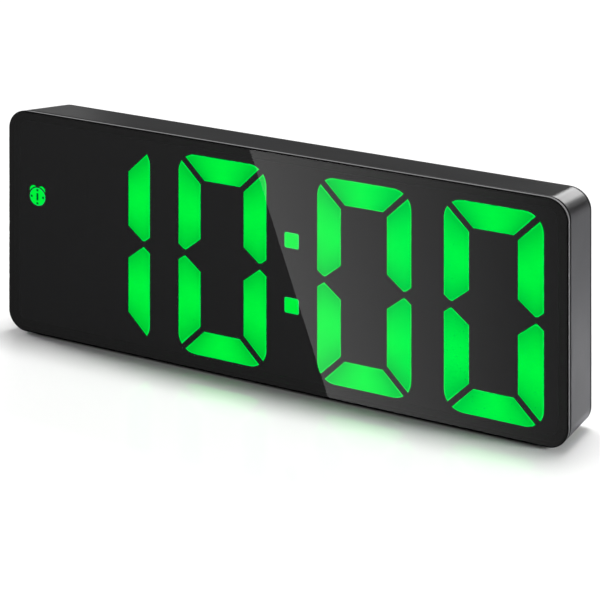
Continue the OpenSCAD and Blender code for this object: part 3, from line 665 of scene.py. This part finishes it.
def makeColon():
    # two squares with softened edges
    low, high = (np.array(v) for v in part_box("colon_lenses"))
    width, soft = high[0] - low[0], digits["soften"] * mm
    outline, out = roundedRectangle(width, width, colonDot["corner"] * mm, 6)
    edge = arc((soft, low[1] + soft), soft, -90, -180, 5)
    profile = [(None, low[1]), (colonDot["landing"] * mm, low[1]), *map(tuple, edge),
               (0, high[1]), (None, high[1])]
    level = np.array([colonDot["faceGlow"]] * 2 + [*np.linspace(*colonDot["edgeGlow"], len(edge))]
                     + [digits["backGlow"]] * 2)[:, None]
    grids = [(carriedRound(outline, out, profile, ((low[0] + high[0]) / 2, z)), True, 0, level)
             for z in (low[2] + width / 2, high[2] - width / 2)]
    dots = gridPiece("colonDots", grids, [finishes["lens_lit"]], 60, "glow")
    placed(dots, "case", "lens_lit", "colon_lenses")


symbol = {                 # mm
    "dial": 2.5,
    "bell": 1.2,
    "bellOut": 1.25,
    "bellRise": 1.875,
    "slit": 0.35,          # dark ring between the bells and the dial
    "mark": 0.58,          # width of the marks and of the hand
    "markOut": 1.85,
    "hand": 2.0,           # its length
    "blur": 0.12,          # softness of a mark's edge
    "edge": ((0.15, 0), (0.1, 0.02), (0.04, 0.06), (0, 0.15)),     # the dial's edge: in and deep
    "paleEdge": 0.2,
    "base": 3.7,           # radius of the base under dial and bells
    "baseBack": 0.6,
}
symbolGlow = {
    "paleEdge": 1.5,
    "bellFall": 0.1,
}
bellTips = (2, 1)          # degrees by which a bell's outer and inner arc stop short of its tips


def makeAlarmSymbol():
    low, high = (np.array(v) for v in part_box("alarm_icon_lens"))
    sizes = {k: np.array(v) * mm for k, v in symbol.items()}
    middle = (low + high) / 2
    dial, blur, half = sizes["dial"], sizes["blur"], sizes["mark"] / 2
    face, lensBack = low[1], high[1] - sizes["baseBack"]

    # dial: rings from the middle outwards, dark where a mark or the hand is printed
    inset, sink = sizes["edge"].T
    radius = np.r_[np.linspace(0, dial - inset[0], 30), dial - inset[1:], dial]
    depth = np.r_[np.full(30, face), face + sink[1:], lensBack]
    turn = np.linspace(0, 2 * np.pi, 96, endpoint=False)
    x, z = radius[:, None] * np.cos(turn), radius[:, None] * np.sin(turn)
    marks = [(0, 0, half, sizes["hand"] / 2)]
    marks += [(sizes["markOut"] * a, sizes["markOut"] * b, half, half)
              for a, b in ((1, 0), (0, 1), (-1, 0), (0, -1))]
    level = np.ones_like(x)
    for a, b, wide, tall in marks:
        far = np.maximum(np.abs(x - a) - wide, np.abs(z - b) - tall)
        level = np.minimum(level, np.clip(0.5 + far / blur, 0, 1))
    level = np.where(radius[:, None] > dial - sizes["paleEdge"], symbolGlow["paleEdge"], level)
    grids = [(np.stack([middle[0] + x, depth[:, None] + 0 * x, middle[2] + z], -1), True, 0, level)]

    # bells: what a circle leaves outside the ring round the dial
    spot = np.array([sizes["bellOut"], sizes["bellRise"]])
    away, lean = np.hypot(*spot), np.degrees(np.arctan2(spot[1], spot[0]))
    ring = dial + sizes["slit"]
    reach = (away ** 2 + ring ** 2 - sizes["bell"] ** 2) / (2 * away)
    wide = np.degrees(np.arccos((reach - away) / sizes["bell"])) - bellTips[0]
    narrow = np.degrees(np.arccos(reach / ring)) - bellTips[1]
    outer = arc(spot, sizes["bell"], lean + wide, lean - wide, 60)
    inner = arc((0, 0), ring, lean + narrow, lean - narrow, 60)
    ends = [np.stack([outer[k], inner[k]]) for k in (0, -1)]
    for side in (1, -1):
        grids += lensGrids((outer, inner, *ends), np.array([side, 1]), middle[[0, 2]], face,
                           lensBack, symbolGlow["bellFall"])
    wide = sizes["base"]
    base = turned([(0, lensBack), (wide, lensBack), (wide, high[1]), (0, high[1])],
                  (middle[0], 0, middle[2]), (0, 1, 0))
    grids.append((base, True, 1))
    lit, dark = finishes["lens_lit"], finishes["lens_dark"]
    placed(gridPiece("alarmSymbol", grids, [lit, dark], 60, "glow"), "case", "lens_lit",
           "alarm_icon_lens")


makeLitDigits()
makeColon()
makeAlarmSymbol()
print("digits, colon and alarm symbol made")


# keys, feet, cells and springs
keys = {                   # mm
    "shaft": 3.5,
    "round": 0.4,
    "dish": 0.22,          # how deep the top is dished
    "flange": 1.0,
    "soft": 0.1,
}


def makeKeys():
    # a turned cap on a flange that stops it behind the cover, its top dished for the fingertip
    shaft, rounding, dish, flange, soft = (keys[k] * mm for k in
                                           ("shaft", "round", "dish", "flange", "soft"))
    for name in ("mode", "set", "up", "down"):
        low, high = (np.array(v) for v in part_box("button_" + name))
        wide = (high[0] - low[0]) / 2
        back, step, top = low[1], low[1] + flange, high[1]
        bowl = np.linspace(shaft - rounding, 0, 14)
        sink = dish / 2 * (1 + np.cos(np.pi * bowl / bowl[0]))
        profile = [(0, back), (wide - soft, back), (wide, back + soft), (wide, step - soft),
                   (wide - soft, step), (shaft + soft, step), (shaft, step + soft),
                   *map(tuple, arc((shaft - rounding, top - rounding), rounding, 0, 90, 8)),
                   *zip(bowl[1:], top - sink[1:])]
        middle = (low + high) / 2
        cap = turned(profile, (middle[0], 0, middle[2]), (0, 1, 0), 72)
        key = gridPiece(name + "Key", [(cap, True, 0)], [finishes["button_plastic"]], 50)
        placed(key, name + "_key", "button_plastic", "button_" + name)


feet = {                   # mm
    "radius": 3.2,
    "round": 0.45,
    "grooves": (1.0, 1.9),
    "deep": 0.15,
    "half": 0.18,          # half a groove's width
}


def makeFeet():
    # soft pads with two shallow rings in the sole
    low, high = (np.array(v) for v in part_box("feet"))
    radius, rounding, deep, half = (feet[k] * mm for k in ("radius", "round", "deep", "half"))
    profile = [(0, 0)]
    for ring in feet["grooves"]:
        ring *= mm
        profile += [(ring - half, 0), (ring - half / 2, deep), (ring + half / 2, deep),
                    (ring + half, 0)]
    profile += [*map(tuple, arc((radius - rounding, rounding), rounding, -90, 0, 8)),
                (radius, high[2]), (0, high[2])]
    grids = [(turned(profile, (x, y, low[2]), up, 56), True, 0)
             for x in (low[0] + radius, high[0] - radius)
             for y in (low[1] + radius, high[1] - radius)]
    pads = gridPiece("feetPads", grids, [finishes["foot_rubber"]], 50)
    placed(pads, "case", "foot_rubber", "feet")


cells = {                  # mm
    "length": 44.5,
    "radius": 5.25,
    "nub": 1.9,
    "nubOut": 1.0,
    "soft": 0.2,           # softening of the steel's edges
    "lip": 0.5,            # how far the wrap is rolled over the can's ends
    "roll": 0.3,           # radius of that roll
    "shoulder": 0.15,      # from the nub's foot to the can's end
    "wrapFrom": 0.25,      # and to the wrap's
    "wrapTo": 0.1,         # how far before the negative end the wrap stops
    "plate": (2.6, 2.4),   # the raised middle of the negative end, at its foot and top
    "plateIn": 0.15,
    "band": 9.0,           # pale band at the positive end
}
cellCount = 3


def cellHeights(low, high):
    # the heights of the cells' middles, from the lowest up
    radius = cells["radius"] * mm
    return np.linspace(low[2] + radius, high[2] - radius, cellCount)


def makeCells():
    # wrapped cells lying along X, every other one turned round
    low, high = (np.array(v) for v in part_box("battery_cells"))
    size = {k: np.array(v) * mm for k, v in cells.items()}
    length, radius, nub, soft, curl = (size[k] for k in ("length", "radius", "nub", "soft", "roll"))
    neck = radius - size["lip"]
    shoulder, wrapStart = size["nubOut"] + size["shoulder"], size["nubOut"] + size["wrapFrom"]
    wrapEnd, plateLow = length - size["wrapTo"], length - size["plateIn"]
    steel = [(0, 0), (nub - soft, 0), (nub, soft), (nub, shoulder - soft / 4),
             (nub + soft, shoulder), (neck - soft, shoulder), (neck, shoulder + soft / 2)]
    roll = arc((radius - curl, wrapStart + soft / 4), curl, -90, 0, 6)
    pale = [(neck, shoulder + soft / 2), (neck, wrapStart - soft), *map(tuple, roll),
            (radius, size["band"])]
    tail = arc((radius - curl, wrapEnd - soft / 4 - soft), curl, 0, 90, 6)
    wrap = [(radius, size["band"]), (radius, length / 2), *map(tuple, tail), (neck, wrapEnd)]
    plate = [(neck, wrapEnd), (neck - soft, plateLow), (size["plate"][0], plateLow),
             (size["plate"][1], length), (0, length)]
    grids = []
    for k, z in enumerate(cellHeights(low, high)):
        tip, way = (high[0], -1) if k % 2 == 0 else (low[0], 1)
        place = (tip, (low[1] + high[1]) / 2, z)
        grids += [(turned(profile, place, (way, 0, 0), 64), True, number)
                  for profile, number in ((steel, 0), (pale, 1), (wrap, 2), (plate, 0))]
    finish = [finishes[k] for k in ("bright_metal", "cell_band", "cell_wrap")]
    placed(gridPiece("cells", grids, finish, 40), "case", "cell_wrap", "battery_cells")


springs = {                # mm
    "wire": 0.26,          # its radius
    "first": 3.4,          # radius of the widest turn
    "taper": 0.3,          # how much each turn is narrower
    "deep": 2.6,
}
coil = {
    "turns": 4,
    "flatEnds": 0.7,       # share of a turn that lies flat at each end
    "steps": 300,
}


def makeSprings():
    # the wire's middle is (R cos a, R sin a, h), where R falls and h grows with the turns; the wire
    # is a circle of points square to that path
    low, high = (np.array(v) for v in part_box("contact_springs"))
    wire, first, taper, deep = (springs[k] * mm for k in ("wire", "first", "taper", "deep"))
    turns, rest, steps = (coil[k] for k in ("turns", "flatEnds", "steps"))
    at = np.linspace(-rest, turns + rest, steps)
    wound = np.clip(at, 0, turns)
    rise = wound / turns * (deep - 2 * wire)
    across = first - taper * wound
    turn = 2 * np.pi * at
    path = np.stack([rise + wire, across * np.cos(turn), across * np.sin(turn)], -1)
    along = np.gradient(path, axis=0)
    along /= np.linalg.norm(along, axis=1, keepdims=True)
    side = np.stack([0 * turn, np.cos(turn), np.sin(turn)], -1)
    side -= along * np.sum(side * along, 1, keepdims=True)
    side /= np.linalg.norm(side, axis=1, keepdims=True)
    other = np.cross(along, side)
    rim = np.linspace(0, 2 * np.pi, 10, endpoint=False)[:, None]
    grown = np.r_[0, np.full(steps - 2, wire), 0][:, None, None]      # closed at both ends
    tube = path[:, None] + grown * (np.cos(rim) * side[:, None] + np.sin(rim) * other[:, None])
    grids = []
    for k, z in enumerate(cellHeights(*(np.array(v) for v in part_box("battery_cells")))):
        start, way = (low[0], 1) if k % 2 == 0 else (high[0], -1)
        grids.append((tube * (way, 1, 1) + (start, (low[1] + high[1]) / 2, z), True, 0))
    coils = gridPiece("cellSprings", grids, [finishes["bright_metal"]], 60)
    placed(coils, "case", "bright_metal", "contact_springs")


makeKeys()
makeFeet()
makeCells()
makeSprings()
print("keys, feet, cells and springs made")


# floor and light
stage = {
    "floorReach": 8.0,                      # metres
    "floorRough": 0.9,
    "shadedWhiteNear": (0.85,) * 3,               # the floor's white near the clock, darker there as a painted shade, and far out
    "whiteFar": (0.93,) * 3,
    "mirroredNear": (0.42, 0.42, 0.44),     # and how pale it is in the clock's gloss
    "mirroredFar": (0.33, 0.33, 0.345),
    "nearReach": (0.4, 0.4, 0.4),           # metres along X, Y and Z
    "nearFull": 0.5,                        # from this nearness on, the near tones hold in full
    "coat": 0.9,                            # the floor's gloss under the clock
    "coatReach": (0.45, 0.19, 0.4),
    "coatFull": 0.35,
    "mattFrom": (0.81, 0.90),               # seen this flatly, the floor mirrors nothing
    "backdrop": (1.0,) * 3,                 # what shows behind the floor
    "softSky": (0.22,) * 3,                 # what lights matt surfaces
    "dimStudio": (0.09,) * 3,               # what glossy surfaces mirror beside the softboxes
}


def nearness(tree, place, reach):
    # (1 - distance / reach) squared: 1 under the clock and 0 from the reach on
    spread = addNode(tree, "ShaderNodeMapping", [("Vector", place)], Scale=[1 / r for r in reach])
    return addNode(tree, "ShaderNodeTexGradient", [("Vector", spread.outputs[0])],
                   gradient_type="QUADRATIC_SPHERE").outputs["Fac"]


def makeFloor():
    reach = stage["floorReach"]
    line = np.linspace(-reach, reach, 9)
    across, along = np.meshgrid(line, line, indexing="ij")
    finish, tree, shader = newFinish("paleFloor", Roughness=stage["floorRough"])
    shader.inputs["Specular IOR Level"].default_value = 0.0
    shader.inputs["Coat Roughness"].default_value = 0.0
    # the floor mirrors faintly round the clock and is matt further out
    place = addNode(tree, "ShaderNodeTexCoord").outputs["Object"]
    near, glossy = (nearness(tree, place, stage[k]) for k in ("nearReach", "coatReach"))
    coat = ranged(tree, glossy, 0, stage["coat"], 0, stage["coatFull"])
    facing = addNode(tree, "ShaderNodeLayerWeight").outputs["Facing"]
    steep = ranged(tree, facing, 1, 0, *stage["mattFrom"])
    gloss = addNode(tree, "ShaderNodeMath", [(0, coat), (1, steep)], operation="MULTIPLY")
    tree.links.new(gloss.outputs[0], shader.inputs["Coat Weight"])
    # painted shade: the floor's white is a little darker round the clock
    around = ranged(tree, near, 0, 1, 0, stage["nearFull"])
    paper = mixed(tree, around, stage["whiteFar"], stage["shadedWhiteNear"])
    mirrored = mixed(tree, around, stage["mirroredFar"], stage["mirroredNear"])
    ray = addNode(tree, "ShaderNodeLightPath").outputs["Is Glossy Ray"]
    tree.links.new(mixed(tree, ray, paper, mirrored), shader.inputs["Base Color"])
    sheet = np.stack([across, along, np.zeros_like(across)], -1)
    gridPiece("floor", [(sheet, False, 0)], [finish])


def makeSky():
    world = bpy.data.worlds.new("studio")
    bpy.context.scene.world = world
    world.use_nodes = True
    tree = world.node_tree
    ray = addNode(tree, "ShaderNodeLightPath")
    lit = mixed(tree, ray.outputs["Is Glossy Ray"], stage["softSky"], stage["dimStudio"])
    seen = mixed(tree, ray.outputs["Is Camera Ray"], lit, stage["backdrop"])
    tree.links.new(seen, tree.nodes["Background"].inputs["Color"])


softboxes = {                     # way to it as turn and rise, distance, size in metres, radiance
    "cornerBox": ((88, 15), 1.3, (0.38, 0.19), 5.2),
    "lowBox": ((78, 10), 1.3, (0.16, 0.10), 1.1),
    "leftBox": ((132, 10), 1.4, (0.5, 0.3), 0.24),
    "frontBox": ((-60, 50), 1.5, (0.9, 0.9), 0.25),
}
floorLamps = {                    # low lamps at the clock's ends, which light the floor alone
    "leftLamp": ((173, 19), 0.32, (0.06, 0.06), 46.0),
    "rightLamp": ((5, 18), 0.32, (0.06, 0.06), 50.0),
}
sun = {
    "way": (92, 78.5),        # high up behind the clock
    "spread": 21,             # degrees across
    "strength": 2.95,
}


def hang(name, lamp, place, aim):
    holder = bpy.data.objects.new(name, lamp)
    holder.location = place
    holder.rotation_euler = aim.to_track_quat("-Z", "Y").to_euler()
    holder.visible_camera = False
    bpy.context.scene.collection.objects.link(holder)
    return holder


def makeLamps():
    # a lamp's power is its radiance times pi times its area
    floorAlone = bpy.data.collections.new("floorAlone")
    floorAlone.objects.link(bpy.data.objects["floor"])
    for name, (way, distance, size, level) in (softboxes | floorLamps).items():
        lamp = bpy.data.lights.new(name, "AREA")
        lamp.shape = "RECTANGLE"
        lamp.size, lamp.size_y = size
        lamp.energy = level * np.pi * size[0] * size[1]
        place = Vector(direction(*way) * distance)
        holder = hang(name, lamp, place, -place)
        if name in floorLamps:
            holder.light_linking.receiver_collection = floorAlone
            holder.visible_glossy = False
    lamp = bpy.data.lights.new("highSun", "SUN")
    lamp.angle = np.radians(sun["spread"])
    lamp.energy = sun["strength"]
    way = Vector(direction(*sun["way"]))
    hang("highSun", lamp, way, -way)


cards = {
    "above": 0.3,          # mm over the floor
    "edgeTop": 74.2,       # mm from the panel's left side to where the cards meet, at the top
    "edgeFoot": 96.6,      # and at the bottom
    "beyond": 5.0,         # mm that the cards reach past the panel's ends
    "foot": 0.4,           # mm from the panel's bottom to where the reflection starts
    "bright": 2.25,        # the lit card where they meet
    "faint": 0.42,         # and at its far end
    "fade": 1.3,           # power of the fading between them
    "dimTop": 0.52,        # the dim card where they meet, at the top and the bottom
    "dimFoot": 0.41,
    "dimFall": 0.2,        # share that it loses to its far end
}


def makeCard(name, end, level):
    # a lit card lying in front of the clock, seen only in the panel's gloss: its outline is where
    # the mirrored sight lines through the panel meet the card's height
    low, high = (np.array(v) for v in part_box("front_panel"))
    eye = np.array(view["place"])
    eye[1] = 2 * low[1] - eye[1]
    across, rise = np.meshgrid(np.linspace(0, 1, 24), np.linspace(0, 1, 12), indexing="ij")
    foot, top = (low[0] + cards[k] * mm for k in ("edgeFoot", "edgeTop"))
    edge = foot + (top - foot) * rise
    height = (low[2] + cards["foot"] * mm) * (1 - rise) + high[2] * rise
    at = np.stack([edge + (end - edge) * across, np.full_like(edge, low[1]), height], -1)
    reach = (height - cards["above"] * mm) / (eye[2] - height)
    spots = at + (at - eye) * reach[..., None]
    finish = bpy.data.materials.new(name)
    finish.use_nodes = True
    tree = finish.node_tree
    tree.nodes.clear()
    fade = addNode(tree, "ShaderNodeAttribute", attribute_name="fade").outputs["Fac"]
    shine = addNode(tree, "ShaderNodeEmission", [("Strength", fade)])
    clear = addNode(tree, "ShaderNodeBsdfTransparent")
    side = addNode(tree, "ShaderNodeNewGeometry").outputs["Backfacing"]
    both = addNode(tree, "ShaderNodeMixShader",
                   [(0, side), (1, shine.outputs[0]), (2, clear.outputs[0])])
    addNode(tree, "ShaderNodeOutputMaterial", [("Surface", both.outputs[0])])
    sheet = gridPiece(name, [(spots, False, 0, level(across, rise))], [finish], 60, "fade")
    if sum(p.normal.z * p.area for p in sheet.data.polygons) < 0:
        sheet.data.flip_normals()
    for kind in ("camera", "diffuse", "shadow", "transmission", "volume_scatter"):
        setattr(sheet, "visible_" + kind, False)


def makeCards():
    low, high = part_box("front_panel")
    beyond = cards["beyond"] * mm
    bright, faint, fade, top, foot, fall = (
        cards[k] for k in ("bright", "faint", "fade", "dimTop", "dimFoot", "dimFall"))
    makeCard("lightCard", high.x + beyond,
             lambda across, rise: faint + (bright - faint) * (1 - across) ** fade)
    makeCard("dimCard", low.x - beyond,
             lambda across, rise: (foot + (top - foot) * rise) * (1 - fall * across))


makeFloor()
makeSky()
makeLamps()
makeCards()
print("floor and lights made")
